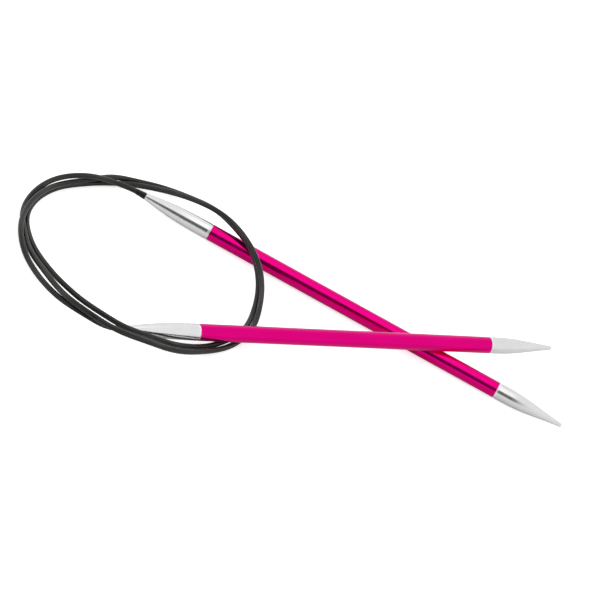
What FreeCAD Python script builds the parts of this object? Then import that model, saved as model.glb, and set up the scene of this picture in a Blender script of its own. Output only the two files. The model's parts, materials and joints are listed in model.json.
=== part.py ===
import FreeCAD, Part
import os
from math import cos, sin

# Fixed circular knitting needle, stowed: two straight needles joined by one flexible cable that is
# wound in about two and a half loops.  Units are millimetres.
#
# Frame: +Z up, z = 0 is the table under needle A and the coil's lowest strands.  +X runs along
# needle A from its cable end to its point.  The origin is the centre of the whole footprint.
#
# Needle A lies flat on the table.  Needle B lies on the lower strands of the coil and on needle A,
# so it climbs gently from its cable end to its point.

V = FreeCAD.Vector

# ---------------------------------------------------------------- needle dimensions
SHAFT_D = 5.0          # needle gauge
SHAFT_L = 98.2         # shaft tube
TUBE_WALL = 0.6
EDGE_BREAK = 0.12      # broken edges of tube, socket and collar

POINT_L = 22.2         # bare front point, tube end to tip
LAND_L = 2.80          # full-gauge land of the front point, next to the shoulder
NOSE_R = 0.68          # round nose of the front point
NOSE_ANGLE = 1.41      # from the axis to where the nose meets the ogive, radians

SHOULDER_L = 0.42      # turned shoulder between tube and bare metal
SHOULDER_D = 4.84      # at its middle
SHOULDER_FLARE = 0.02  # extra radius at both ends of the shoulder

SPIGOT_L = 8.0         # length of point and socket pressed into the tube
SPIGOT_LEAD_L = 0.4    # lead-in chamfer of the spigot: length and depth
SPIGOT_LEAD_DEPTH = 0.25

SOCKET_L = 22.0        # bare tapered cable socket, small end to tube
SOCKET_END_D = 2.1     # small end of the socket
SOCKET_BORE_D = 0.96   # running bore for the cable core
CHAMBER_X = 6.0        # inside shoulder that the thrust washer sits on
CHAMBER_D = 2.5

WASHER_D, WASHER_ID, WASHER_T = 2.3, 1.0, 0.4

FERRULE_D, FERRULE_L = 2.2, 4.0
FERRULE_GAP = 0.06     # between washer and ferrule
FERRULE_CHAMFER = 0.25
CRIMP_DEPTH = 0.12     # the crimp squeezes the ferrule's middle
CRIMP_TOP, CRIMP_FLOOR = 1.2, 1.6    # where the crimp's ramps start and end, from each ferrule end

# ---------------------------------------------------------------- cable dimensions
CABLE_D = 1.65
CORE_D = 0.80
CORE_INSET = 0.2       # the core stops this far short of the ferrule's inner end

COLLAR_L = 3.2         # socket face to tail of the strain-relief collar on the cable
COLLAR_D = 2.1
COLLAR_TAIL_D = 1.74
COLLAR_GAP = 0.06      # running gap between collar and socket face
TAIL_CHAMFER_L, TAIL_CHAMFER_DEPTH = 0.08, 0.03

FLEX_GAP = 0.17        # half the slit in the cable at each flexing point
FLEX_A = (1.0, 4.5, 9.0)    # distance of lead A's flexing points from its collar's tail
FLEX_B = (1.2, 8.0)         # the same for lead B

SECTION_STEP = 2.0     # longest spacing of the cable's ring sections
PATCH_SECTIONS = 3     # section intervals per face of the skin

# ---------------------------------------------------------------- derived dimensions
SHAFT_R = SHAFT_D / 2
TUBE_BORE_R = SHAFT_R - TUBE_WALL
SHOULDER_R = SHOULDER_D / 2
CABLE_R = CABLE_D / 2
CORE_R = CORE_D / 2

# Local frame of a needle: x = 0 at the socket's small end, +x towards the point.
TUBE_X = SOCKET_L
POINT_X = SOCKET_L + SHAFT_L
TIP_X = POINT_X + POINT_L
FERRULE_X = CHAMBER_X + WASHER_T + FERRULE_GAP
CORE_END_X = FERRULE_X + FERRULE_L - CORE_INSET

# ---------------------------------------------------------------- needle poses
# side: position of the socket's small end, direction towards the point
NEEDLES = {
    "a": (V(-56.600, 23.727, 2.506), V(1.0, 0.0, 0.0)),
    "b": (V(-39.526, -39.663, 3.138), V(0.78810, 0.61404, 0.04296)),
}

# ---------------------------------------------------------------- cable centreline
# x on a needle's axis of the centreline's stations, from the core's end into the collar
AXIAL_STATIONS = (CORE_END_X, 7.6, 4.9, 2.4, 0.4, -COLLAR_GAP, -1.1, -2.15)

# x, y, z of the stations from the tail of collar A to the tail of collar B
CABLE_STATIONS = [
    (-59.800, 23.715, 2.505), (-64.626, 22.753, 2.639), (-68.824, 20.284, 3.413),
    (-72.449, 17.069, 4.411), (-75.833, 13.504, 4.965), (-79.016, 9.718, 4.969),
    (-81.767, 5.633, 4.533), (-83.739, 1.167, 3.759), (-84.802, -3.584, 2.911),
    (-84.890, -8.479, 2.244), (-83.938, -13.315, 1.926), (-82.022, -17.873, 1.941),
    (-79.662, -22.221, 2.081), (-77.117, -26.458, 2.329), (-74.189, -30.402, 2.906),
    (-70.868, -33.983, 3.705), (-67.328, -37.375, 4.378), (-63.552, -40.530, 4.905),
    (-59.433, -43.214, 5.443), (-54.950, -45.214, 6.039), (-50.206, -46.550, 6.443),
    (-45.305, -47.193, 6.521), (-40.374, -46.883, 6.470), (-35.617, -45.551, 6.324),
    (-31.148, -43.517, 5.744), (-27.067, -40.911, 4.739), (-23.484, -37.665, 3.707),
    (-20.380, -33.909, 2.850), (-17.596, -29.884, 2.114), (-15.014, -25.714, 1.454),
    (-12.723, -21.353, 0.993), (-10.940, -16.741, 0.878), (-9.715, -11.951, 1.041),
    (-9.169, -7.051, 1.409), (-9.531, -2.160, 2.022), (-10.559, 2.597, 2.914),
    (-12.037, 7.185, 4.025), (-14.113, 11.521, 5.189), (-16.826, 15.518, 6.248),
    (-20.153, 19.091, 7.035), (-23.899, 22.285, 7.520), (-27.918, 25.168, 7.609),
    (-32.135, 27.717, 7.174), (-36.511, 29.838, 6.273), (-41.077, 31.315, 5.078),
    (-45.826, 32.002, 3.886), (-50.653, 31.778, 2.853), (-55.388, 30.621, 2.033),
    (-59.916, 28.702, 1.511), (-64.152, 26.169, 1.193), (-68.018, 23.093, 0.933),
    (-71.519, 19.599, 0.872), (-74.657, 15.772, 0.906), (-77.537, 11.749, 1.029),
    (-80.004, 7.463, 1.111), (-81.845, 2.873, 1.061), (-82.969, -1.942, 0.954),
    (-83.278, -6.875, 0.881), (-82.623, -11.772, 0.899), (-80.936, -16.415, 1.016),
    (-78.502, -20.717, 1.212), (-75.579, -24.696, 1.524), (-72.258, -28.328, 2.037),
    (-68.673, -31.681, 2.668), (-64.890, -34.795, 3.361), (-60.863, -37.577, 4.093),
    (-56.565, -39.944, 4.716), (-51.941, -41.614, 5.233), (-47.078, -42.474, 5.437),
    (-42.143, -42.430, 5.217), (-37.365, -41.242, 4.831), (-32.947, -39.122, 4.177),
    (-28.920, -36.466, 3.086), (-25.228, -33.368, 1.969), (-21.752, -29.928, 1.214),
    (-18.486, -26.232, 0.851), (-15.748, -22.114, 0.869), (-13.548, -17.684, 0.963),
    (-11.917, -13.014, 0.943), (-11.022, -8.152, 0.881), (-10.930, -3.208, 0.928),
    (-11.475, 1.696, 1.271), (-12.454, 6.491, 1.993), (-14.030, 11.068, 3.004),
    (-16.295, 15.313, 4.147), (-19.181, 19.181, 5.225), (-22.697, 22.584, 5.926),
    (-26.658, 25.541, 6.094), (-30.756, 28.307, 5.869), (-34.909, 30.930, 5.280),
    (-39.262, 33.004, 4.191), (-43.860, 34.285, 2.902), (-48.672, 34.728, 1.865),
    (-53.536, 34.178, 1.212), (-58.184, 32.533, 0.928), (-62.415, 29.992, 1.158),
    (-66.131, 26.809, 1.869), (-69.283, 23.053, 2.503), (-72.062, 18.963, 2.674),
    (-74.783, 14.829, 2.790), (-77.423, 10.654, 3.094), (-79.743, 6.298, 3.445),
    (-81.590, 1.718, 3.741), (-82.856, -3.060, 3.920), (-83.490, -7.966, 3.947),
    (-83.540, -12.912, 3.841), (-82.959, -17.819, 3.640), (-81.528, -22.543, 3.387),
    (-79.346, -26.974, 3.107), (-76.583, -31.070, 2.894), (-73.255, -34.728, 2.871),
    (-69.502, -37.950, 2.982), (-65.400, -40.708, 3.186), (-60.960, -42.864, 3.472),
    (-56.205, -44.176, 3.786), (-51.280, -44.566, 3.765), (-46.422, -43.874, 3.253),
    (-42.054, -41.620, 3.007),
]


# ---------------------------------------------------------------- helpers
def export(shape, name):
    # healing may wrap a solid in a compound
    if shape.ShapeType != "Solid":
        shape = shape.Solids[0]
    shape.exportStep("parts/" + name + ".step")


def polyline(points):
    """Straight profile edges through (x, radius) pairs."""
    return [Part.LineSegment(V(*start, 0), V(*end, 0)).toShape()
            for start, end in zip(points, points[1:])]


def spline(points):
    """Smooth profile edge through (x, radius) pairs."""
    curve = Part.BSplineCurve()
    curve.interpolate([V(x, radius, 0) for x, radius in points])
    return curve.toShape()


def turned(edges):
    """Solid of revolution about the X axis from a closed profile."""
    face = Part.Face(Part.Wire(Part.__sortEdges__(edges)))
    return face.revolve(V(0, 0, 0), V(1, 0, 0), 360)


# ---------------------------------------------------------------- turned needle pieces
def shaft_tube():
    return turned(polyline([
        (TUBE_X, TUBE_BORE_R), (TUBE_X, SHAFT_R - EDGE_BREAK), (TUBE_X + EDGE_BREAK, SHAFT_R),
        (POINT_X - EDGE_BREAK, SHAFT_R), (POINT_X, SHAFT_R - EDGE_BREAK),
        (POINT_X, TUBE_BORE_R), (TUBE_X, TUBE_BORE_R)]))


def front_point():
    spigot_x = POINT_X - SPIGOT_L
    shoulder_end = POINT_X + SHOULDER_L
    land_end = shoulder_end + LAND_L
    nose_x = TIP_X - NOSE_R
    # distance from the tube's end, radius
    ogive = [(5.4, 2.46), (7.6, 2.335), (10.4, 2.08), (13.4, 1.71), (16.4, 1.31), (19.2, 0.95)]
    nose_start = (nose_x + NOSE_R * cos(NOSE_ANGLE), NOSE_R * sin(NOSE_ANGLE))
    nose_circle = Part.Circle(V(nose_x, 0, 0), V(0, 0, 1), NOSE_R)

    edges = polyline([
        (spigot_x, 0), (spigot_x, TUBE_BORE_R - SPIGOT_LEAD_DEPTH),
        (spigot_x + SPIGOT_LEAD_L, TUBE_BORE_R), (POINT_X, TUBE_BORE_R),
        (POINT_X, SHOULDER_R + SHOULDER_FLARE), (POINT_X + SHOULDER_L / 2, SHOULDER_R),
        (shoulder_end, SHOULDER_R + SHOULDER_FLARE), (shoulder_end, SHAFT_R),
        (land_end, SHAFT_R)])
    edges.append(spline([(land_end, SHAFT_R)] + [(POINT_X + x, radius) for x, radius in ogive]
                        + [nose_start]))
    edges.append(Part.ArcOfCircle(nose_circle, 0.0, NOSE_ANGLE).toShape())
    edges += polyline([(TIP_X, 0), (spigot_x, 0)])
    return turned(edges)


def cable_socket():
    end_r = SOCKET_END_D / 2
    bore_r = SOCKET_BORE_D / 2
    chamber_r = CHAMBER_D / 2
    shoulder_x = TUBE_X - SHOULDER_L
    spigot_end = TUBE_X + SPIGOT_L
    # x, radius of the outer taper
    taper = [(EDGE_BREAK, end_r), (1.0, 1.155), (2.5, 1.37), (5.0, 1.69), (7.5, 1.965),
             (10.0, 2.175), (14.0, 2.385), (18.0, 2.472), (shoulder_x, SHAFT_R)]

    edges = polyline([(0, bore_r), (0, end_r - EDGE_BREAK), (EDGE_BREAK, end_r)])
    edges.append(spline(taper))
    edges += polyline([
        (shoulder_x, SHAFT_R), (shoulder_x, SHOULDER_R + SHOULDER_FLARE),
        (shoulder_x + SHOULDER_L / 2, SHOULDER_R), (TUBE_X, SHOULDER_R + SHOULDER_FLARE),
        (TUBE_X, TUBE_BORE_R), (spigot_end - SPIGOT_LEAD_L, TUBE_BORE_R),
        (spigot_end, TUBE_BORE_R - SPIGOT_LEAD_DEPTH), (spigot_end, chamber_r),
        (CHAMBER_X, chamber_r), (CHAMBER_X, bore_r), (0, bore_r)])
    return turned(edges)


def thrust_washer():
    start, end = CHAMBER_X, CHAMBER_X + WASHER_T
    inner, outer = WASHER_ID / 2, WASHER_D / 2
    return turned(polyline([(start, inner), (start, outer), (end, outer), (end, inner),
                            (start, inner)]))


def crimp_ferrule():
    start, end = FERRULE_X, FERRULE_X + FERRULE_L
    outer = FERRULE_D / 2
    waist = outer - CRIMP_DEPTH
    return turned(polyline([
        (start, CORE_R), (start, outer - FERRULE_CHAMFER), (start + FERRULE_CHAMFER, outer),
        (start + CRIMP_TOP, outer), (start + CRIMP_FLOOR, waist),
        (end - CRIMP_FLOOR, waist), (end - CRIMP_TOP, outer),
        (end - FERRULE_CHAMFER, outer), (end, outer - FERRULE_CHAMFER), (end, CORE_R),
        (start, CORE_R)]))


def strain_relief():
    """Collar on the cable, flaring from its tail towards the socket face."""
    tail, face = -COLLAR_L, -COLLAR_GAP
    tail_r, face_r = COLLAR_TAIL_D / 2, COLLAR_D / 2
    flare_start = (tail + TAIL_CHAMFER_L, tail_r)
    flare_end = (face - EDGE_BREAK, face_r)

    edges = polyline([(tail, CABLE_R), (tail, tail_r - TAIL_CHAMFER_DEPTH), flare_start])
    edges.append(spline([flare_start, (tail + 1.1, tail_r + 0.045), (tail + 2.1, tail_r + 0.12),
                         flare_end]))
    edges += polyline([flare_end, (face, face_r - EDGE_BREAK), (face, CABLE_R),
                       (tail, CABLE_R)])
    return turned(edges)


def export_needles():
    for build in (shaft_tube, front_point, cable_socket, thrust_washer, crimp_ferrule,
                  strain_relief):
        for side, (rear, direction) in NEEDLES.items():
            piece = build()
            piece.Placement = FreeCAD.Placement(rear, FreeCAD.Rotation(V(1, 0, 0), direction))
            export(piece, build.__name__ + "_" + side)


# ---------------------------------------------------------------- cable
# Control points of a full circle as a rational quadratic: two cross coordinates, weight
CORNER = 0.5 ** 0.5
RING = [(1, 0, 1.0), (1, 1, CORNER), (0, 1, 1.0), (-1, 1, CORNER), (-1, 0, 1.0),
        (-1, -1, CORNER), (0, -1, 1.0), (1, -1, CORNER), (1, 0, 1.0)]


def cable_centreline():
    """One curve from the ferrule in socket A to the ferrule in socket B."""
    (rear_a, direction_a), (rear_b, direction_b) = NEEDLES["a"], NEEDLES["b"]
    curve = Part.BSplineCurve()
    curve.interpolate([rear_a + direction_a * x for x in AXIAL_STATIONS]
                      + [V(*station) for station in CABLE_STATIONS]
                      + [rear_b + direction_b * x for x in reversed(AXIAL_STATIONS)])
    return curve.toShape()


def frames(line, start, end):
    """Points and cross directions between two arc lengths, with no twist between them."""
    count = max(4, int((end - start) / SECTION_STEP) + 1)
    rings = []
    side = None
    for i in range(count + 1):
        parameter = line.getParameterByLength(start + (end - start) * i / count)
        point, tangent = line.valueAt(parameter), line.tangentAt(parameter)
        if side is None:
            side = tangent.cross(V(0, 0, 1))
        side = side - tangent * side.dot(tangent)
        side.normalize()
        rings.append((point, side, tangent.cross(side)))
    return rings


def skin(rings, radius):
    """Round skin: exact circles at the sections, smooth between them."""
    columns = []
    for across, up, _ in RING:
        curve = Part.BSplineCurve()
        curve.interpolate(Points=[point + side * (across * radius) + normal * (up * radius)
                                  for point, side, normal in rings],
                          Parameters=[float(i) for i in range(len(rings))])
        columns.append(curve)
    first = columns[0]
    poles = [list(row) for row in zip(*[column.getPoles() for column in columns])]
    weights = [[weight for _, _, weight in RING] for row in poles]
    surface = Part.BSplineSurface()
    surface.buildFromPolesMultsKnots(poles, first.getMultiplicities(), [3, 2, 2, 2, 3],
                                     first.getKnots(), [0.0, 1.0, 2.0, 3.0, 4.0], False, False,
                                     first.Degree, 2, weights)
    return surface


def sweep(line, start, end, *radii):
    """Rod (one radius) or pipe (outer, inner) between two arc lengths of the line."""
    rings = frames(line, start, end)
    faces = []
    start_wires, end_wires = [], []
    for radius in radii:
        surface = skin(rings, radius)
        u0, u1 = surface.bounds()[:2]
        cuts = [u0 + i for i in range(0, int(u1 - u0 + 0.5), PATCH_SECTIONS)] + [u1]
        for patch_start, patch_end in zip(cuts, cuts[1:]):
            patch = surface.copy()
            patch.segment(patch_start, patch_end, 0.0, 4.0)
            faces.append(patch.toShape())
        start_wires.append(Part.Wire([surface.uIso(u0).toShape()]))
        end_wires.append(Part.Wire([surface.uIso(u1).toShape()]))
    for wires in (start_wires, end_wires):
        faces.append(Part.makeFace(wires, "Part::FaceMakerBullseye"))
    shell = Part.makeShell(faces)
    shell.sewShape()
    # sewing may wrap the shell in a compound
    solid = Part.makeSolid(shell if shell.ShapeType == "Shell" else shell.Shells[0])
    healed = solid.copy()
    healed.fix(1e-5, 1e-5, 1e-4)
    if healed.Volume < 0:
        healed.reverse()
    return healed


def export_cable():
    """Jacket and core, both slit at the flexing points."""
    line = cable_centreline()
    total = line.Length
    jacket_start = CORE_END_X + COLLAR_GAP
    collar_tail = CORE_END_X + COLLAR_L

    flex = [collar_tail + distance for distance in FLEX_A]
    flex += [total - collar_tail - distance for distance in reversed(FLEX_B)]
    after_slits = [s + FLEX_GAP for s in flex]
    before_slits = [s - FLEX_GAP for s in flex]

    # the core reaches into the ferrules, the jacket stops at the collars' faces
    jackets = zip([jacket_start] + after_slits, before_slits + [total - jacket_start])
    cores = zip([0.0] + after_slits, before_slits + [total])
    names = ("end_{}_a", "lead_{}_a1", "lead_{}_a2", "coil_{}", "lead_{}_b", "end_{}_b")
    for name, jacket, core in zip(names, jackets, cores):
        export(sweep(line, *jacket, CABLE_R, CORE_R), name.format("jacket"))
        export(sweep(line, *core, CORE_R), name.format("core"))


os.makedirs("parts", exist_ok=True)
export_needles()
export_cable()
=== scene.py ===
import bpy
import bmesh
import json
import math
import numpy as np
from mathutils import Matrix, Vector

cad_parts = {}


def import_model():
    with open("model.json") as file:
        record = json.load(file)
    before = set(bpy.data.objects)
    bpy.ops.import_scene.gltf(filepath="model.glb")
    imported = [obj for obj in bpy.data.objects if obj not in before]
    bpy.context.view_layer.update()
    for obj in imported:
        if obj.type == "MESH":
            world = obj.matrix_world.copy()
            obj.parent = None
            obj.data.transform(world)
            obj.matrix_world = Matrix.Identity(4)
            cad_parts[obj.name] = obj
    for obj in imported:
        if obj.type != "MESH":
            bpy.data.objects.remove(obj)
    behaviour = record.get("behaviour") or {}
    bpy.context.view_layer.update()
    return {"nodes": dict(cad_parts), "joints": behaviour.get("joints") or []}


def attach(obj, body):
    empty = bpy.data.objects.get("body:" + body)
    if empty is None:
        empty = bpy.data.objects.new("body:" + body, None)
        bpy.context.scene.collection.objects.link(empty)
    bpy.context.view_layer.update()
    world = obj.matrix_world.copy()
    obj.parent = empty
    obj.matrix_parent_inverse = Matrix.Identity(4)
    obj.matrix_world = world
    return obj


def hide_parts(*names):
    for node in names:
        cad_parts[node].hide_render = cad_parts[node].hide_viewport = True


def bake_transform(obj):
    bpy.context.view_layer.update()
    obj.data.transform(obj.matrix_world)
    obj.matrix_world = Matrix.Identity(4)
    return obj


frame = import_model()
NODES = frame["nodes"]

# ------------------------------------------------------------------ shared dimensions, millimetres
# The same numbers as the frame was designed with.
R_SHAFT, R_BORE = 2.5, 1.9
SOCKET_L, SHAFT_L, POINT_L = 22.0, 98.2, 22.2
SPIGOT_L = 8.0
R_SHOULDER, SHOULDER_L, LAND_L = 2.42, 0.42, 2.80
NOSE_R, NOSE_A = 0.68, 1.41
R_CABLE, R_CORE = 0.825, 0.40
COLLAR_L, R_COLLAR, R_COLLAR_TAIL, COLLAR_GAP = 3.2, 1.05, 0.87, 0.06
X_TUBE, X_POINT = SOCKET_L, SOCKET_L + SHAFT_L
X_TIP = X_POINT + POINT_L

A_REAR, A_DIR = Vector((-56.600, 23.727, 2.506)), Vector((1.0, 0.0, 0.0))
B_REAR, B_DIR = Vector((-39.526, -39.663, 3.138)), Vector((0.78810, 0.61404, 0.04296)).normalized()

# Cable centreline from the tail of collar A to the tail of collar B.
CABLE = [
    (-59.800, 23.715, 2.505), (-64.626, 22.753, 2.639), (-68.824, 20.284, 3.413),
    (-72.449, 17.069, 4.411), (-75.833, 13.504, 4.965), (-79.016, 9.718, 4.969),
    (-81.767, 5.633, 4.533), (-83.739, 1.167, 3.759), (-84.802, -3.584, 2.911),
    (-84.890, -8.479, 2.244), (-83.938, -13.315, 1.926), (-82.022, -17.873, 1.941),
    (-79.662, -22.221, 2.081), (-77.117, -26.458, 2.329), (-74.189, -30.402, 2.906),
    (-70.868, -33.983, 3.705), (-67.328, -37.375, 4.378), (-63.552, -40.530, 4.905),
    (-59.433, -43.214, 5.443), (-54.950, -45.214, 6.039), (-50.206, -46.550, 6.443),
    (-45.305, -47.193, 6.521), (-40.374, -46.883, 6.470), (-35.617, -45.551, 6.324),
    (-31.148, -43.517, 5.744), (-27.067, -40.911, 4.739), (-23.484, -37.665, 3.707),
    (-20.380, -33.909, 2.850), (-17.596, -29.884, 2.114), (-15.014, -25.714, 1.454),
    (-12.723, -21.353, 0.993), (-10.940, -16.741, 0.878), (-9.715, -11.951, 1.041),
    (-9.169, -7.051, 1.409), (-9.531, -2.160, 2.022), (-10.559, 2.597, 2.914),
    (-12.037, 7.185, 4.025), (-14.113, 11.521, 5.189), (-16.826, 15.518, 6.248),
    (-20.153, 19.091, 7.035), (-23.899, 22.285, 7.520), (-27.918, 25.168, 7.609),
    (-32.135, 27.717, 7.174), (-36.511, 29.838, 6.273), (-41.077, 31.315, 5.078),
    (-45.826, 32.002, 3.886), (-50.653, 31.778, 2.853), (-55.388, 30.621, 2.033),
    (-59.916, 28.702, 1.511), (-64.152, 26.169, 1.193), (-68.018, 23.093, 0.933),
    (-71.519, 19.599, 0.872), (-74.657, 15.772, 0.906), (-77.537, 11.749, 1.029),
    (-80.004, 7.463, 1.111), (-81.845, 2.873, 1.061), (-82.969, -1.942, 0.954),
    (-83.278, -6.875, 0.881), (-82.623, -11.772, 0.899), (-80.936, -16.415, 1.016),
    (-78.502, -20.717, 1.212), (-75.579, -24.696, 1.524), (-72.258, -28.328, 2.037),
    (-68.673, -31.681, 2.668), (-64.890, -34.795, 3.361), (-60.863, -37.577, 4.093),
    (-56.565, -39.944, 4.716), (-51.941, -41.614, 5.233), (-47.078, -42.474, 5.437),
    (-42.143, -42.430, 5.217), (-37.365, -41.242, 4.831), (-32.947, -39.122, 4.177),
    (-28.920, -36.466, 3.086), (-25.228, -33.368, 1.969), (-21.752, -29.928, 1.214),
    (-18.486, -26.232, 0.851), (-15.748, -22.114, 0.869), (-13.548, -17.684, 0.963),
    (-11.917, -13.014, 0.943), (-11.022, -8.152, 0.881), (-10.930, -3.208, 0.928),
    (-11.475, 1.696, 1.271), (-12.454, 6.491, 1.993), (-14.030, 11.068, 3.004),
    (-16.295, 15.313, 4.147), (-19.181, 19.181, 5.225), (-22.697, 22.584, 5.926),
    (-26.658, 25.541, 6.094), (-30.756, 28.307, 5.869), (-34.909, 30.930, 5.280),
    (-39.262, 33.004, 4.191), (-43.860, 34.285, 2.902), (-48.672, 34.728, 1.865),
    (-53.536, 34.178, 1.212), (-58.184, 32.533, 0.928), (-62.415, 29.992, 1.158),
    (-66.131, 26.809, 1.869), (-69.283, 23.053, 2.503), (-72.062, 18.963, 2.674),
    (-74.783, 14.829, 2.790), (-77.423, 10.654, 3.094), (-79.743, 6.298, 3.445),
    (-81.590, 1.718, 3.741), (-82.856, -3.060, 3.920), (-83.490, -7.966, 3.947),
    (-83.540, -12.912, 3.841), (-82.959, -17.819, 3.640), (-81.528, -22.543, 3.387),
    (-79.346, -26.974, 3.107), (-76.583, -31.070, 2.894), (-73.255, -34.728, 2.871),
    (-69.502, -37.950, 2.982), (-65.400, -40.708, 3.186), (-60.960, -42.864, 3.472),
    (-56.205, -44.176, 3.786), (-51.280, -44.566, 3.765), (-46.422, -43.874, 3.253),
    (-42.054, -41.620, 3.007),
]


def ring_frame(rear, direction):
    """Row-frame matrix of a needle's own frame: x along the needle."""
    x = direction.normalized()
    y = Vector((0, 0, 1)).cross(x).normalized()
    z = x.cross(y)
    m = Matrix((x, y, z)).transposed().to_4x4()
    m.translation = rear
    return m


# ------------------------------------------------------------------ smooth curves
def cubic(xs, ys):
    """Natural cubic spline through (xs, ys); ys may be a vector per station."""
    xs = np.asarray(xs, float)
    ys = np.asarray(ys, float)
    if ys.ndim == 1:
        ys = ys[:, None]
    n = len(xs)
    h = np.diff(xs)
    a = np.zeros((n, n))
    b = np.zeros((n, ys.shape[1]))
    a[0, 0] = a[-1, -1] = 1.0
    for i in range(1, n - 1):
        a[i, i - 1], a[i, i], a[i, i + 1] = h[i - 1], 2 * (h[i - 1] + h[i]), h[i]
        b[i] = 6 * ((ys[i + 1] - ys[i]) / h[i] - (ys[i] - ys[i - 1]) / h[i - 1])
    m = np.linalg.solve(a, b)

    def at(q):
        q = np.atleast_1d(np.asarray(q, float))
        k = np.clip(np.searchsorted(xs, q) - 1, 0, n - 2)
        t0, t1, hk = q - xs[k], xs[k + 1] - q, h[k]
        t0, t1, hk = t0[:, None], t1[:, None], hk[:, None]
        return (m[k] * t1 ** 3 + m[k + 1] * t0 ** 3) / (6 * hk) + (ys[k] / hk - m[k] * hk / 6) * t1 + \
            (ys[k + 1] / hk - m[k + 1] * hk / 6) * t0

    return at


def fair(points, count):
    """count (x, r) samples of a smooth profile through points."""
    xs = [p[0] for p in points]
    f = cubic(xs, [p[1] for p in points])
    q = np.linspace(xs[0], xs[-1], count)
    return [(float(x), float(r)) for x, r in zip(q, f(q)[:, 0])]


# ------------------------------------------------------------------ node helpers
def material(name):
    m = bpy.data.materials.new(name)
    m.use_nodes = True
    nt = m.node_tree
    nt.nodes.clear()
    out = nt.nodes.new("ShaderNodeOutputMaterial")
    bsdf = nt.nodes.new("ShaderNodeBsdfPrincipled")
    nt.links.new(bsdf.outputs["BSDF"], out.inputs["Surface"])
    return m, nt, bsdf


def attr(nt, name="loc"):
    n = nt.nodes.new("ShaderNodeAttribute")
    n.attribute_name = name
    return n.outputs["Vector"]


def scaled(nt, vec, s):
    n = nt.nodes.new("ShaderNodeVectorMath")
    n.operation = "MULTIPLY"
    nt.links.new(vec, n.inputs[0])
    n.inputs[1].default_value = s
    return n.outputs[0]


def noise(nt, vec, scale, detail=3.0, rough=0.55):
    n = nt.nodes.new("ShaderNodeTexNoise")
    n.inputs["Scale"].default_value = scale
    n.inputs["Detail"].default_value = detail
    n.inputs["Roughness"].default_value = rough
    nt.links.new(vec, n.inputs["Vector"])
    return n.outputs["Fac"]


def remap(nt, value, a, b, c, d):
    n = nt.nodes.new("ShaderNodeMapRange")
    nt.links.new(value, n.inputs["Value"])
    for k, v in zip(("From Min", "From Max", "To Min", "To Max"), (a, b, c, d)):
        n.inputs[k].default_value = v
    return n.outputs["Result"]


def ramp(nt, value, stops):
    n = nt.nodes.new("ShaderNodeValToRGB")
    nt.links.new(value, n.inputs["Fac"])
    el = n.color_ramp.elements
    while len(el) < len(stops):
        el.new(0.5)
    for e, (p, c) in zip(el, stops):
        e.position = p
        e.color = (*c, 1.0)
    return n.outputs["Color"]


def bump(nt, height, strength, distance, chain=None):
    n = nt.nodes.new("ShaderNodeBump")
    n.inputs["Strength"].default_value = strength
    n.inputs["Distance"].default_value = distance
    nt.links.new(height, n.inputs["Height"])
    if chain is not None:
        nt.links.new(chain, n.inputs["Normal"])
    return n.outputs["Normal"]


def math_node(nt, op, a, b=None):
    n = nt.nodes.new("ShaderNodeMath")
    n.operation = op
    for i, v in enumerate((a, b)):
        if v is None:
            continue
        if isinstance(v, (int, float)):
            n.inputs[i].default_value = v
        else:
            nt.links.new(v, n.inputs[i])
    return n.outputs[0]


# ------------------------------------------------------------------ materials
# "loc" is a point attribute in millimetres, in each turned piece's own frame (x along its axis), or
# along the cable (x = distance along it), so that grain and scratches move with the piece.
def anodised():
    """Dyed, anodised aluminium tube: tinted mirror with fine drawn lines along it and faint handling haze."""
    m, nt, p = material("anodised_magenta")
    loc = attr(nt)
    drawn = noise(nt, scaled(nt, loc, (0.035, 3.0, 3.0)), 3.2, 4.0)
    fine = noise(nt, scaled(nt, loc, (0.25, 9.0, 9.0)), 4.0, 2.0)
    haze = noise(nt, scaled(nt, loc, (0.08, 0.4, 0.4)), 1.0, 3.0)
    tint = ramp(nt, haze, [(0.25, (0.75, 0.0015, 0.200)), (0.55, (0.78, 0.0020, 0.218)), (0.8, (0.81, 0.0030, 0.236))])
    nt.links.new(tint, p.inputs["Base Color"])
    p.inputs["Metallic"].default_value = 1.0
    r = math_node(nt, "ADD", remap(nt, drawn, 0.3, 0.7, 0.0, 0.05), remap(nt, haze, 0.3, 0.7, 0.13, 0.19))
    nt.links.new(r, p.inputs["Roughness"])
    p.inputs["Anisotropic"].default_value = 0.25
    n = bump(nt, drawn, 0.10, 0.00002)
    n = bump(nt, fine, 0.06, 0.00001, n)
    nt.links.new(n, p.inputs["Normal"])
    return m


def bare_metal(name, low, high, rough, turned=0.10):
    """Bright turned aluminium: ring marks of the lathe under a tumbled satin polish."""
    m, nt, p = material(name)
    loc = attr(nt)
    rings = noise(nt, scaled(nt, loc, (7.0, 0.10, 0.10)), 2.4, 3.0)
    satin = noise(nt, loc, 5.0, 4.0)
    cloud = noise(nt, scaled(nt, loc, (0.3, 0.6, 0.6)), 0.9, 3.0)
    nt.links.new(ramp(nt, cloud, [(0.3, low), (0.75, high)]), p.inputs["Base Color"])
    p.inputs["Metallic"].default_value = 1.0
    r = math_node(nt, "ADD", remap(nt, satin, 0.3, 0.7, rough - 0.03, rough + 0.04), remap(nt, cloud, 0.3, 0.7, 0.0, 0.05))
    nt.links.new(r, p.inputs["Roughness"])
    n = bump(nt, rings, turned, 0.00003)
    n = bump(nt, satin, 0.05, 0.00001, n)
    nt.links.new(n, p.inputs["Normal"])
    return m


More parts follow.
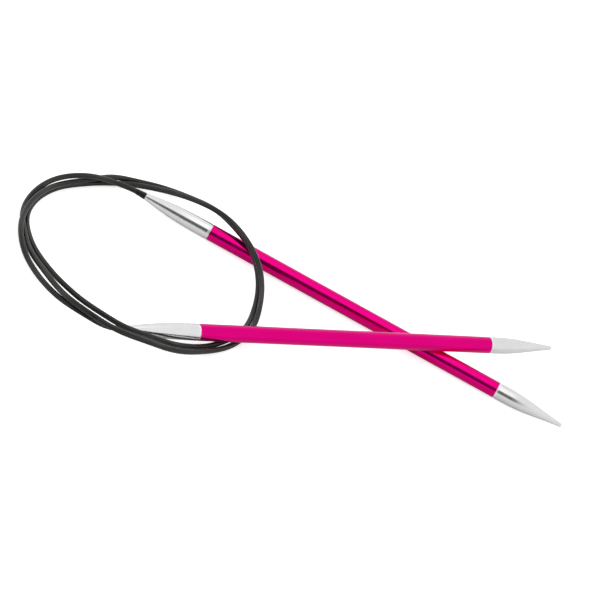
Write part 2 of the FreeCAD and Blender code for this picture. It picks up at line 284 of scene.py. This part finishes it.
def black_cable(name, low, high, line_and_highlight_colour, rough, streak):
    """Extruded black nylon: satin skin, paler streaks along the cable (faint extrusion lines, drawn pale enough to
    serve as painted highlights), slight waviness.
    """
    m, nt, p = material(name)
    loc = attr(nt)
    die_line_and_highlight_noise = noise(nt, scaled(nt, loc, (0.03, 5.0, 5.0)), 3.0, 3.0)
    pore = noise(nt, loc, 9.0, 3.0)
    cloud = noise(nt, scaled(nt, loc, (0.09, 0.6, 0.6)), 1.0, 3.0)
    body = math_node(nt, "ADD", math_node(nt, "MULTIPLY", die_line_and_highlight_noise, 0.65), math_node(nt, "MULTIPLY", cloud, 0.35))
    # Base colour: near black with pale streaks along the cable; the pale streaks are painted highlights standing for
    # the sheen of lit spots, laid along faint extrusion lines.
    nt.links.new(ramp(nt, body, [(0.32, low), (0.50, high), (0.65, line_and_highlight_colour)]), p.inputs["Base Color"])
    r = math_node(nt, "ADD", remap(nt, die_line_and_highlight_noise, 0.3, 0.7, rough - 0.04, rough + 0.04), remap(nt, cloud, 0.3, 0.7, -0.02, 0.05))
    nt.links.new(r, p.inputs["Roughness"])
    p.inputs["IOR"].default_value = 1.40
    n = bump(nt, die_line_and_highlight_noise, streak, 0.00004)
    n = bump(nt, pore, 0.06, 0.00002, n)
    nt.links.new(n, p.inputs["Normal"])
    return m


def hidden_metal(name, low, high, rough):
    """Materials of the small parts inside, seen only when the sockets are opened."""
    m, nt, p = material(name)
    co = nt.nodes.new("ShaderNodeTexCoord").outputs["Object"]
    grain = noise(nt, scaled(nt, co, (1.0, 1.0, 1.0)), 1800.0, 4.0)
    nt.links.new(ramp(nt, grain, [(0.3, low), (0.7, high)]), p.inputs["Base Color"])
    p.inputs["Metallic"].default_value = 1.0
    nt.links.new(remap(nt, grain, 0.3, 0.7, rough - 0.05, rough + 0.08), p.inputs["Roughness"])
    nt.links.new(bump(nt, grain, 0.15, 0.00003), p.inputs["Normal"])
    return m


MAT_TUBE = anodised()
MAT_POINT = bare_metal("bare_point_metal", (0.75, 0.75, 0.745), (0.80, 0.80, 0.795), 0.15, 0.04)
MAT_SOCKET = bare_metal("bare_socket_metal", (0.79, 0.79, 0.80), (0.84, 0.84, 0.85), 0.14, 0.04)
MAT_EDGE = bare_metal("cut_edge_metal", (0.88, 0.88, 0.90), (0.96, 0.96, 0.97), 0.30, 0.04)
# The third colour of each is the pale streak colour: a painted highlight on the cable and on the collar.
MAT_CABLE = black_cable("cable_nylon", (0.0010, 0.0010, 0.0010), (0.0070, 0.0066, 0.0062), (0.080, 0.075, 0.069), 0.20, 0.34)
MAT_COLLAR = black_cable("collar_moulding", (0.0010, 0.0010, 0.0011), (0.0025, 0.0025, 0.0027), (0.008, 0.008, 0.008), 0.30, 0.04)
MAT_STEEL = hidden_metal("stranded_steel", (0.38, 0.38, 0.40), (0.58, 0.58, 0.60), 0.30)
MAT_BRASS = hidden_metal("crimped_brass", (0.62, 0.42, 0.16), (0.78, 0.58, 0.26), 0.32)
MAT_WASHER = hidden_metal("bright_washer", (0.55, 0.55, 0.57), (0.72, 0.72, 0.74), 0.22)


# ------------------------------------------------------------------ turned pieces
def lathe(name, profile, rear, direction, mats, body, node, segs=96):
    """Closed solid of revolution. profile: list of (x, r, material index of the band that follows)."""
    m = ring_frame(rear, direction)
    bm = bmesh.new()
    lay = bm.verts.layers.float_vector.new("loc")
    rows = []
    for x, r, k in profile:
        if r < 1e-6:
            v = bm.verts.new((m @ Vector((x, 0, 0))) / 1000)
            v[lay] = (x, 0, 0)
            rows.append([v])
            continue
        row = []
        for i in range(segs):
            a = 2 * math.pi * i / segs
            q = Vector((x, r * math.cos(a), r * math.sin(a)))
            v = bm.verts.new((m @ q) / 1000)
            v[lay] = q
            row.append(v)
        rows.append(row)
    n = len(rows)
    closed = len(rows[0]) > 1
    for j in range(n if closed else n - 1):
        a, b, k = rows[j], rows[(j + 1) % n], profile[j][2]
        for i in range(segs):
            i2 = (i + 1) % segs
            if len(a) == 1:
                f = bm.faces.new((a[0], b[i], b[i2]))
            elif len(b) == 1:
                f = bm.faces.new((a[i], b[0], a[i2]))
            else:
                f = bm.faces.new((a[i], b[i], b[i2], a[i2]))
            f.smooth = True
            f.material_index = k
    bmesh.ops.recalc_face_normals(bm, faces=bm.faces)
    me = bpy.data.meshes.new(name)
    bm.to_mesh(me)
    bm.free()
    me.set_sharp_from_angle(angle=math.radians(28))
    for mat in mats:
        me.materials.append(mat)
    ob = bpy.data.objects.new(name, me)
    bpy.context.scene.collection.objects.link(ob)
    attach(ob, body)
    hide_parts(node)
    return ob


def rounded(points, k=0, steps=4, mats=None):
    """Profile from (x, r, radius) corners: each corner with a radius becomes a small arc."""
    out = []
    n = len(points)
    for i, (x, r, rad) in enumerate(points):
        band = mats[i] if mats else k
        if rad <= 0:
            out.append((x, r, band))
            continue
        p, a, b = Vector((x, r)), Vector(points[i - 1][:2]), Vector(points[(i + 1) % n][:2])
        u, w = (a - p), (b - p)
        t = min(rad, u.length * 0.45, w.length * 0.45)
        s, e = p + u.normalized() * t, p + w.normalized() * t
        for j in range(steps + 1):
            f = j / steps
            q = s * (1 - f) ** 2 + p * (2 * f * (1 - f)) + e * f ** 2
            last = mats[i - 1] if (mats and j < steps / 2) else band
            out.append((q.x, q.y, last))
    return out


def tube_profile():
    c = 0.12
    pts = [(X_TUBE, R_BORE, 0), (X_TUBE, R_SHAFT - c, 0.03), (X_TUBE + c, R_SHAFT, 0.05)]
    bands = [1, 1, 0]
    n = 40
    for i in range(1, n):
        pts.append((X_TUBE + c + (SHAFT_L - 2 * c) * i / n, R_SHAFT, 0))
        bands.append(0)
    pts += [(X_POINT - c, R_SHAFT, 0.05), (X_POINT, R_SHAFT - c, 0.03), (X_POINT, R_BORE, 0)]
    bands += [1, 1, 1]
    return rounded(pts, mats=bands)


def point_profile():
    xc = X_TIP - NOSE_R
    xl = X_POINT + SHOULDER_L + LAND_L
    x0 = X_POINT
    ogive = fair([(xl, R_SHAFT), (x0 + 5.4, 2.46), (x0 + 7.6, 2.335), (x0 + 10.4, 2.08), (x0 + 13.4, 1.71),
                  (x0 + 16.4, 1.31), (x0 + 19.2, 0.95), (xc + NOSE_R * math.cos(NOSE_A), NOSE_R * math.sin(NOSE_A))], 64)
    pts = [(x0 - SPIGOT_L, 0, 0), (x0 - SPIGOT_L, R_BORE - 0.25, 0.05), (x0 - SPIGOT_L + 0.4, R_BORE, 0.1),
           (x0, R_BORE, 0), (x0, R_SHOULDER + 0.02, 0.02), (x0 + SHOULDER_L / 2, R_SHOULDER, 0.05),
           (x0 + SHOULDER_L, R_SHOULDER + 0.02, 0), (x0 + SHOULDER_L, R_SHAFT, 0.05)]
    out = rounded(pts, k=0)
    out = [(x, r, 1 if x0 <= x <= x0 + SHOULDER_L + 0.03 else 0) for x, r, k in out]
    out.append((x0 + SHOULDER_L + 0.09, R_SHAFT, 0))
    out += [(x, r, 0) for x, r in ogive]
    for i in range(1, 14):
        a = NOSE_A * (1 - i / 14)
        out.append((xc + NOSE_R * math.cos(a), NOSE_R * math.sin(a), 0))
    out.append((X_TIP, 0, 0))
    return out


def socket_profile():
    xs = X_TUBE - SHOULDER_L
    cone = fair([(0.12, 1.05), (1.0, 1.155), (2.5, 1.37), (5.0, 1.69), (7.5, 1.965), (10.0, 2.175),
                 (14.0, 2.385), (18.0, 2.472), (xs, R_SHAFT)], 64)
    out = [(0, 0.48, 0), (0.0, 0.93, 0), (0.035, 0.985, 0), (0.075, 1.025, 0)]
    out += [(x, r, 0) for x, r in cone[:-1]]
    out += [(xs - 0.05, R_SHAFT, 1), (xs - 0.012, R_SHAFT - 0.015, 1), (xs, R_SHAFT - 0.05, 1), (xs, R_SHOULDER + 0.02, 1),
            (xs + SHOULDER_L / 2, R_SHOULDER, 1), (X_TUBE - 0.02, R_SHOULDER + 0.02, 1), (X_TUBE, R_SHOULDER, 0), (X_TUBE, R_BORE, 0),
            (X_TUBE + SPIGOT_L - 0.4, R_BORE, 0), (X_TUBE + SPIGOT_L, R_BORE - 0.25, 0),
            (X_TUBE + SPIGOT_L, 1.25, 0), (6.0, 1.25, 0), (6.0, 0.48, 0)]
    return out


def collar_profile():
    a, b = -COLLAR_L, -COLLAR_GAP
    flare = fair([(a + 0.08, R_COLLAR_TAIL), (a + 1.1, R_COLLAR_TAIL + 0.045), (a + 2.1, R_COLLAR_TAIL + 0.12),
                  (b - 0.12, R_COLLAR)], 24)
    out = [(a, R_CABLE, 0), (a, R_COLLAR_TAIL - 0.03, 0), (a + 0.03, R_COLLAR_TAIL - 0.008, 0)]
    out += [(x, r, 0) for x, r in flare]
    out += [(b - 0.045, R_COLLAR - 0.025, 0), (b - 0.015, R_COLLAR - 0.06, 0), (b, R_COLLAR - 0.12, 0), (b, R_CABLE, 0)]
    return out


for side, rear, direction in (("a", A_REAR, A_DIR), ("b", B_REAR, B_DIR)):
    needle, end = "needle_" + side, "cable_end_" + side
    o = lathe("anodised_shaft_" + side, tube_profile(), rear, direction, [MAT_TUBE, MAT_EDGE], needle, "shaft_tube_" + side)
    o = lathe("polished_point_" + side, point_profile(), rear, direction, [MAT_POINT, MAT_EDGE], needle, "front_point_" + side)
    o = lathe("polished_socket_" + side, socket_profile(), rear, direction, [MAT_SOCKET, MAT_EDGE], needle, "cable_socket_" + side)
    o = lathe("collar_" + side, collar_profile(), rear, direction, [MAT_COLLAR], end, "strain_relief_" + side, segs=64)

# ------------------------------------------------------------------ cable
inside = (-COLLAR_GAP, -1.1, -2.15)
stations = [A_REAR + A_DIR * x for x in inside] + [Vector(p) for p in CABLE] + [B_REAR + B_DIR * x for x in reversed(inside)]
P = np.array([list(p) for p in stations])
chord = np.r_[0, np.cumsum(np.linalg.norm(np.diff(P, axis=0), axis=1))]
curve = cubic(chord, P)
dense_q = np.linspace(0, chord[-1], 24001)
dense = curve(dense_q)
arc = np.r_[0, np.cumsum(np.linalg.norm(np.diff(dense, axis=0), axis=1))]
TOTAL = float(arc[-1])


def at_arc(s):
    return curve(np.interp(s, arc, dense_q))


def arc_near(point):
    return float(arc[int(np.argmin(((dense - np.array(point)) ** 2).sum(1)))])


SPACING = 0.45
COUNT = int(TOTAL / SPACING) + 1
S = np.linspace(0, TOTAL, COUNT)
C = at_arc(S)
T = np.gradient(C, axis=0)
T /= np.linalg.norm(T, axis=1)[:, None]
U = np.zeros_like(C)
u = np.cross(T[0], (0, 0, 1.0))
for i in range(COUNT):
    u = u - T[i] * (u @ T[i])
    u /= np.linalg.norm(u)
    U[i] = u
W = np.cross(T, U)


def cable_mesh(name, s0, s1, sides=28):
    """Closed skin of the cable between two arc lengths."""
    i0, i1 = int(round(s0 / TOTAL * (COUNT - 1))), int(round(s1 / TOTAL * (COUNT - 1)))
    bm = bmesh.new()
    lay = bm.verts.layers.float_vector.new("loc")
    rows = []
    for i in range(i0, i1 + 1):
        row = []
        for j in range(sides):
            a = 2 * math.pi * j / sides
            d = U[i] * math.cos(a) + W[i] * math.sin(a)
            v = bm.verts.new((C[i] + d * R_CABLE) / 1000)
            v[lay] = (S[i], R_CABLE * math.cos(a), R_CABLE * math.sin(a))
            row.append(v)
        rows.append(row)
    for a, b in zip(rows, rows[1:]):
        for j in range(sides):
            k = (j + 1) % sides
            f = bm.faces.new((a[j], a[k], b[k], b[j]))
            f.smooth = True
    for row in (rows[0], rows[-1]):
        f = bm.faces.new(row)
        f.smooth = False
    bmesh.ops.recalc_face_normals(bm, faces=bm.faces)
    me = bpy.data.meshes.new(name)
    bm.to_mesh(me)
    bm.free()
    me.set_sharp_from_angle(angle=math.radians(50))
    me.materials.append(MAT_CABLE)
    ob = bpy.data.objects.new(name, me)
    bpy.context.scene.collection.objects.link(ob)
    return ob


joint = {j["name"]: j for j in frame["joints"]}


def pivot_arc(name):
    return arc_near([c * 1000 for c in joint[name]["pos_m"]])


def flex(ob, name, reach):
    """Finds the joint's place along the cable and the points a reach either side of it, and bakes the piece's transform
    into its mesh.
    """
    s = pivot_arc(name)
    first, last = at_arc(s - reach)[0] / 1000, at_arc(s + reach)[0] / 1000
    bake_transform(ob)


a1, a2, a3 = pivot_arc("lead_a_droop_end"), pivot_arc("lead_a_droop"), pivot_arc("lead_a_sweep")
b2, b1 = pivot_arc("lead_b_sweep"), pivot_arc("lead_b_lift")
m12, m23 = (a1 + a2) / 2, (a2 + a3) / 2
a4 = a3 + (a3 - m23)
b3, mb = b2 - 3.2, (b2 + b1) / 2

o = cable_mesh("cable_end_a_skin", 0.0, m12)
flex(o, "lead_a_droop_end", 1.2)
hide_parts("end_jacket_a", "lead_jacket_a1")
o = cable_mesh("cable_lead_a_skin", m12, m23)
flex(o, "lead_a_droop", 1.5)
o = cable_mesh("cable_turn_a_skin", m23, a4)
flex(o, "lead_a_sweep", 2.0)
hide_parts("lead_jacket_a2")
o = cable_mesh("cable_coil_skin", a4, b3)
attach(o, "cable_coil")
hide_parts("coil_jacket")
o = cable_mesh("cable_turn_b_skin", b3, mb)
flex(o, "lead_b_sweep", 3.0)
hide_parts("lead_jacket_b")
o = cable_mesh("cable_end_b_skin", mb, TOTAL)
flex(o, "lead_b_lift", 1.4)
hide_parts("end_jacket_b")

# parts inside the cable and the sockets keep their own shape
for n, ob in NODES.items():
    if ob.hide_render:
        continue
    mat = MAT_STEEL if "core" in n else MAT_BRASS if "ferrule" in n else MAT_WASHER
    ob.data.materials.clear()
    ob.data.materials.append(mat)

# ------------------------------------------------------------------ stage
bm = bmesh.new()
bmesh.ops.create_grid(bm, x_segments=8, y_segments=8, size=3.0)
me = bpy.data.meshes.new("floor")
bm.to_mesh(me)
bm.free()
floor = bpy.data.objects.new("floor", me)
floor.location.z = -0.00002
bpy.context.scene.collection.objects.link(floor)
fm, nt, p = material("pale_paper")
co = nt.nodes.new("ShaderNodeTexCoord").outputs["Object"]
tone = noise(nt, co, 3.0, 3.0)
nt.links.new(ramp(nt, tone, [(0.3, (0.90, 0.90, 0.905)), (0.7, (0.92, 0.92, 0.922))]), p.inputs["Base Color"])
p.inputs["Roughness"].default_value = 0.9
p.inputs["Specular IOR Level"].default_value = 0.1
# The paper is lit a little brighter for the camera alone, as a lit backdrop is, so that shadows stay faint.
glow = nt.nodes.new("ShaderNodeEmission")
glow.inputs["Color"].default_value = (1.0, 1.0, 1.0, 1.0)
nt.links.new(math_node(nt, "MULTIPLY", nt.nodes.new("ShaderNodeLightPath").outputs["Is Camera Ray"], 0.65), glow.inputs["Strength"])
add = nt.nodes.new("ShaderNodeAddShader")
nt.links.new(p.outputs["BSDF"], add.inputs[0])
nt.links.new(glow.outputs["Emission"], add.inputs[1])
nt.links.new(add.outputs["Shader"], [n for n in nt.nodes if n.type == "OUTPUT_MATERIAL"][0].inputs["Surface"])
me.materials.append(fm)

# When needle A droops, the table is lower: its height follows the lowest of two marks on the needle,
# one in the nose and one where the point starts to taper.  At rest it stays just under the needles.
drive = floor.driver_add("location", 2).driver
drive.type = "SCRIPTED"
for name, along in (("nose", X_TIP - NOSE_R), ("land", X_POINT + 5.4)):
    mark = bpy.data.objects.new("table_mark_" + name, None)
    mark.empty_display_size = 0.001
    bpy.context.scene.collection.objects.link(mark)
    mark.location = (A_REAR + A_DIR * along) * 0.001
    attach(mark, "needle_a")
    v = drive.variables.new()
    v.name = name
    v.type = "TRANSFORMS"
    v.targets[0].id = mark
    v.targets[0].transform_type = "LOC_Z"
    v.targets[0].transform_space = "WORLD_SPACE"
drive.expression = "min(0.0, nose - %.6f, land - %.6f) - 0.00002" % (NOSE_R * 0.001, R_SHAFT * 0.001)


def smooth(nt, value, a, b, c, d):
    n = nt.nodes.new("ShaderNodeMapRange")
    n.interpolation_type = "SMOOTHSTEP"
    nt.links.new(value, n.inputs["Value"])
    for k, v in zip(("From Min", "From Max", "To Min", "To Max"), (a, b, c, d)):
        n.inputs[k].default_value = v
    return n.outputs["Result"]


SKY = 0.94                      # even white of the light tent
STRIP = 0.32                    # extra light of the long overhead tube light, which runs front to back
STRIP_X = (0.07, 0.17)          # its half width, soft edged
STRIP_BACK = (0.20, 0.52)       # and how far behind the middle it fades
GAP_X = (-0.52, -0.38, 0.15, 0.25)  # left and right ends of the dark gap below its front end
GAP_LOW = (0.06, 0.18)          # the dark gap starts just over the table
GAP_TOP = (0.68, 0.84)          # and ends where the overhead light starts
GAP_DEPTH = 0.88


def world():
    """A white light tent with a bright tube light overhead and a dark gap in its front, where the camera looks in."""
    w = bpy.data.worlds.new("studio")
    bpy.context.scene.world = w
    w.use_nodes = True
    nt = w.node_tree
    nt.nodes.clear()
    out = nt.nodes.new("ShaderNodeOutputWorld")
    bg = nt.nodes.new("ShaderNodeBackground")
    nt.links.new(bg.outputs[0], out.inputs[0])
    co = nt.nodes.new("ShaderNodeTexCoord").outputs["Generated"]
    sep = nt.nodes.new("ShaderNodeSeparateXYZ")
    nt.links.new(co, sep.inputs[0])
    x, y, z = sep.outputs
    side = math_node(nt, "ABSOLUTE", x)
    front = smooth(nt, y, -0.05, 0.05, 1, 0)
    tube = math_node(nt, "MULTIPLY", smooth(nt, side, STRIP_X[0], STRIP_X[1], 1, 0), smooth(nt, z, GAP_TOP[0], GAP_TOP[1], 0, 1))
    tube = math_node(nt, "MULTIPLY", tube, smooth(nt, y, STRIP_BACK[0], STRIP_BACK[1], 1, 0))
    gap = math_node(nt, "MULTIPLY", smooth(nt, z, GAP_LOW[0], GAP_LOW[1], 0, 1), smooth(nt, z, GAP_TOP[0], GAP_TOP[1], 1, 0))
    gap = math_node(nt, "MULTIPLY", gap, smooth(nt, x, GAP_X[0], GAP_X[1], 0, 1))
    gap = math_node(nt, "MULTIPLY", math_node(nt, "MULTIPLY", gap, front), smooth(nt, x, GAP_X[2], GAP_X[3], 1, 0))
    level = math_node(nt, "ADD", SKY, math_node(nt, "MULTIPLY", tube, STRIP))
    level = math_node(nt, "MULTIPLY", level, math_node(nt, "SUBTRACT", 1.0, math_node(nt, "MULTIPLY", gap, GAP_DEPTH)))
    nt.links.new(level, bg.inputs["Strength"])
    bg.inputs["Color"].default_value = (1.0, 1.0, 1.0, 1)


world()

# ------------------------------------------------------------------ camera
cam_data = bpy.data.cameras.new("camera")
cam_data.sensor_width = 36.0
cam_data.lens = 216.0
cam_data.clip_start, cam_data.clip_end = 0.01, 20.0
cam = bpy.data.objects.new("camera", cam_data)
bpy.context.scene.collection.objects.link(cam)
right = Vector((0.87546229, 0.28143867, 0.39288428))
up = Vector((-0.48323589, 0.49800928, 0.72004849))
back = Vector((0.00698947, -0.82023109, 0.57198961))
m = Matrix((right, up, back)).transposed().to_4x4()
m.translation = Vector((0.006480, -0.864604, 0.616106))
cam.matrix_world = m
bpy.context.scene.camera = cam
bpy.context.scene.view_settings.view_transform = "Standard"
bpy.context.scene.view_settings.look = "None"
